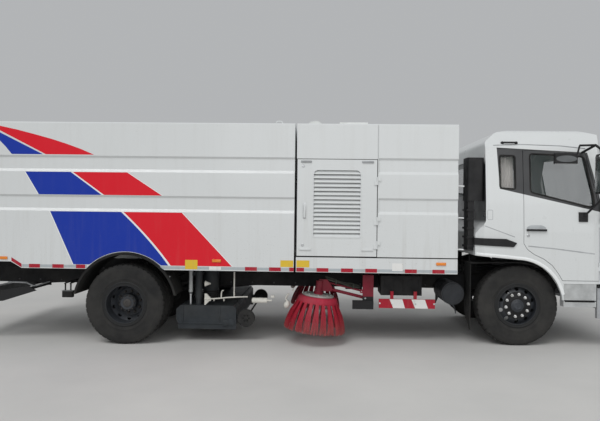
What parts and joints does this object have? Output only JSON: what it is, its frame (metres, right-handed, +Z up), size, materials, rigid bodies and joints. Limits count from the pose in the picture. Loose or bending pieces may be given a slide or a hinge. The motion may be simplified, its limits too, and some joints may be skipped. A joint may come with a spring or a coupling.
{
  "type": "street sweeper truck",
  "caption": "Two-axle street sweeper truck: flat-fronted cab, louvred engine bay, tipping box body, side brushes and a suction nozzle under the frame.",
  "frame": {"origin": "on the ground plane under the middle of the truck", "axes": "+X towards the nose, +Y to the truck's left, +Z up"},
  "size_m": [8.7138, 3.04, 2.8901],
  "materials": {
    "body_white": "satin",
    "chassis_black": "matte",
    "steel_grey": "satin",
    "engine_iron": "rough",
    "tank_metal": "satin",
    "trim_black": "matte",
    "guard_stripes": "satin",
    "lamp_plastic": "gloss",
    "beacon_plastic": "gloss",
    "glass": "clear",
    "seat_fabric": "woven",
    "curtain_fabric": "woven",
    "tyre": "matte",
    "wheel_steel": "satin",
    "brush_red": "matte",
    "arm_red": "satin",
    "nozzle_grey": "matte",
    "chrome": "polished",
    "rubber": "matte"
  },
  "bodies": {
    "chassis": {"frame_rails": "chassis_black", "towing_jaw": "chassis_black", "body_subframe": "chassis_black", "front_axle": "chassis_black", "rear_axle": "chassis_black", "driveline": "engine_iron", "chassis_tanks": "tank_metal", "battery_box": "chassis_black", "side_guards": "guard_stripes", "mudguards": "rubber", "bumpers": "steel_grey", "lamps": "lamp_plastic", "engine_housing": "body_white", "sweeper_engine": "engine_iron", "roof_beacon": "beacon_plastic", "brush_brackets": "arm_red", "suction_ducts": "steel_grey"},
    "cab": {"cab_shell": "body_white", "cab_glass": "glass", "dashboard": "trim_black", "cab_seats": "seat_fabric", "side_curtain": "curtain_fabric", "front_grille": "trim_black", "cab_trim": "trim_black", "cab_steps": "steel_grey", "air_intake": "trim_black"},
    "right_door": {"right_door": "body_white", "right_door_glass": "glass", "right_door_fittings": "trim_black"},
    "left_door": {"left_door": "body_white", "left_door_glass": "glass", "left_door_fittings": "trim_black"},
    "right_knuckle": {"right_knuckle": "chassis_black"},
    "left_knuckle": {"left_knuckle": "chassis_black"},
    "front_right_wheel": {"front_right_wheel": "wheel_steel", "front_right_tyre": "tyre"},
    "front_left_wheel": {"front_left_wheel": "wheel_steel", "front_left_tyre": "tyre"},
    "rear_right_wheels": {"rear_right_wheels": "wheel_steel", "rear_right_tyres": "tyre"},
    "rear_left_wheels": {"rear_left_wheels": "wheel_steel", "rear_left_tyres": "tyre"},
    "hopper": {"hopper": "body_white"},
    "tailgate": {"tailgate": "body_white"},
    "ram_barrels": {"ram_barrels": "chassis_black"},
    "ram_rods": {"ram_rods": "chrome"},
    "right_engine_door": {"right_engine_door": "body_white"},
    "left_engine_door": {"left_engine_door": "body_white"},
    "suction_nozzle": {"suction_nozzle": "nozzle_grey"},
    "nozzle_wheels": {"nozzle_wheels": "tyre"},
    "right_brush_arm": {"right_brush_arm": "arm_red"},
    "right_brush_link": {"right_brush_link": "arm_red"},
    "right_brush_head": {"right_brush_head": "arm_red"},
    "right_brush": {"right_brush": "brush_red"},
    "left_brush_arm": {"left_brush_arm": "arm_red"},
    "left_brush_link": {"left_brush_link": "arm_red"},
    "left_brush_head": {"left_brush_head": "arm_red"},
    "left_brush": {"left_brush": "brush_red"}
  },
  "joints": [
    {"name": "cab_tilt", "type": "hinge", "parent": "chassis", "child": "cab", "pos_m": [4.24834, 0, 0.8484], "axis": [0, 1, 0], "range_deg": [0, 45]},
    {"name": "right_door_hinge", "type": "hinge", "parent": "cab", "child": "right_door", "pos_m": [3.97775, -1.199, 1.44588], "axis": [0.0091, 0, 1], "range_deg": [0, 65]},
    {"name": "right_steer", "type": "hinge", "parent": "chassis", "child": "right_knuckle", "pos_m": [3.01021, -0.85, 0.509], "axis": [0.0091, 0, 1], "range_deg": [-32, 32]},
    {"name": "front_right_spin", "type": "hinge", "parent": "right_knuckle", "child": "front_right_wheel", "pos_m": [3.01021, -0.947, 0.509], "axis": [0, 1, 0], "continuous": true},
    {"name": "rear_right_spin", "type": "hinge", "parent": "chassis", "child": "rear_right_wheels", "pos_m": [-1.99, -0.93, 0.509], "axis": [0, 1, 0], "continuous": true},
    {"name": "right_engine_door_hinge", "type": "hinge", "parent": "chassis", "child": "right_engine_door", "pos_m": [1.21358, -1.262, 1.77098], "axis": [0.0091, 0, 1], "range_deg": [0, 100]},
    {"name": "right_brush_lift", "type": "hinge", "parent": "chassis", "child": "right_brush_arm", "pos_m": [1.0907, -0.905, 0.57204], "axis": [0, 1, 0], "range_deg": [-17, 0]},
    {"name": "right_brush_link_pivot", "type": "hinge", "parent": "chassis", "child": "right_brush_link", "pos_m": [1.04152, -0.905, 0.66249], "axis": [0, 1, 0], "range_deg": [-17, 0]},
    {"name": "right_brush_level", "type": "hinge", "parent": "right_brush_arm", "child": "right_brush_head", "pos_m": [0.61174, -0.905, 0.68839], "axis": [0, 1, 0], "range_deg": [0, 17]},
    {"name": "right_brush_spin", "type": "hinge", "parent": "right_brush_head", "child": "right_brush", "pos_m": [0.47581, -0.95, 0.58762], "axis": [0.1135, 0, 0.9935], "continuous": true},
    {"name": "left_door_hinge", "type": "hinge", "parent": "cab", "child": "left_door", "pos_m": [3.97775, 1.199, 1.44588], "axis": [0.0091, 0, 1], "range_deg": [-65, 0]},
    {"name": "left_steer", "type": "hinge", "parent": "chassis", "child": "left_knuckle", "pos_m": [3.01021, 0.85, 0.509], "axis": [0.0091, 0, 1], "range_deg": [-32, 32]},
    {"name": "front_left_spin", "type": "hinge", "parent": "left_knuckle", "child": "front_left_wheel", "pos_m": [3.01021, 0.947, 0.509], "axis": [0, 1, 0], "continuous": true},
    {"name": "rear_left_spin", "type": "hinge", "parent": "chassis", "child": "rear_left_wheels", "pos_m": [-1.99, 0.93, 0.509], "axis": [0, 1, 0], "continuous": true},
    {"name": "left_engine_door_hinge", "type": "hinge", "parent": "chassis", "child": "left_engine_door", "pos_m": [1.21358, 1.262, 1.77098], "axis": [0.0091, 0, 1], "range_deg": [-100, 0]},
    {"name": "left_brush_lift", "type": "hinge", "parent": "chassis", "child": "left_brush_arm", "pos_m": [1.0907, 0.905, 0.57204], "axis": [0, 1, 0], "range_deg": [-17, 0]},
    {"name": "left_brush_link_pivot", "type": "hinge", "parent": "chassis", "child": "left_brush_link", "pos_m": [1.04152, 0.905, 0.66249], "axis": [0, 1, 0], "range_deg": [-17, 0]},
    {"name": "left_brush_level", "type": "hinge", "parent": "left_brush_arm", "child": "left_brush_head", "pos_m": [0.61174, 0.905, 0.68839], "axis": [0, 1, 0], "range_deg": [0, 17]},
    {"name": "left_brush_spin", "type": "hinge", "parent": "left_brush_head", "child": "left_brush", "pos_m": [0.47581, 0.95, 0.58762], "axis": [0.1135, 0, 0.9935], "continuous": true},
    {"name": "hopper_tip", "type": "hinge", "parent": "chassis", "child": "hopper", "pos_m": [-4.13473, 0, 1.09949], "axis": [0, 1, 0], "range_deg": [-45, 0]},
    {"name": "tailgate_lift", "type": "hinge", "parent": "hopper", "child": "tailgate", "pos_m": [-4.2737, 0, 2.86582], "axis": [0, 1, 0], "range_deg": [0, 75]},
    {"name": "ram_pivot", "type": "hinge", "parent": "chassis", "child": "ram_barrels", "pos_m": [-3.68765, 0, 0.77542], "axis": [0, 1, 0], "range_deg": [-48.5, 0]},
    {"name": "ram_stroke", "type": "slide", "parent": "ram_barrels", "child": "ram_rods", "axis": [0.9238, 0, 0.3828], "range_m": [0, 0.42]},
    {"name": "nozzle_lift", "type": "slide", "parent": "chassis", "child": "suction_nozzle", "axis": [0.0091, 0, 1], "range_m": [-0.19, 0]},
    {"name": "nozzle_wheel_spin", "type": "hinge", "parent": "suction_nozzle", "child": "nozzle_wheels", "pos_m": [-0.45675, 0, 0.30908], "axis": [0, 1, 0], "continuous": true}
  ],
  "couplings": [
    {"joint": "left_steer", "follows": "right_steer", "ratio": 1},
    {"joint": "ram_pivot", "follows": "hopper_tip", "ratio": 1.0658},
    {"joint": "ram_stroke", "follows": "hopper_tip", "m_per_rad": -0.5336},
    {"joint": "right_brush_link_pivot", "follows": "right_brush_lift", "ratio": 1},
    {"joint": "right_brush_level", "follows": "right_brush_lift", "ratio": -1},
    {"joint": "left_brush_link_pivot", "follows": "left_brush_lift", "ratio": 1},
    {"joint": "left_brush_level", "follows": "left_brush_lift", "ratio": -1}
  ]
}
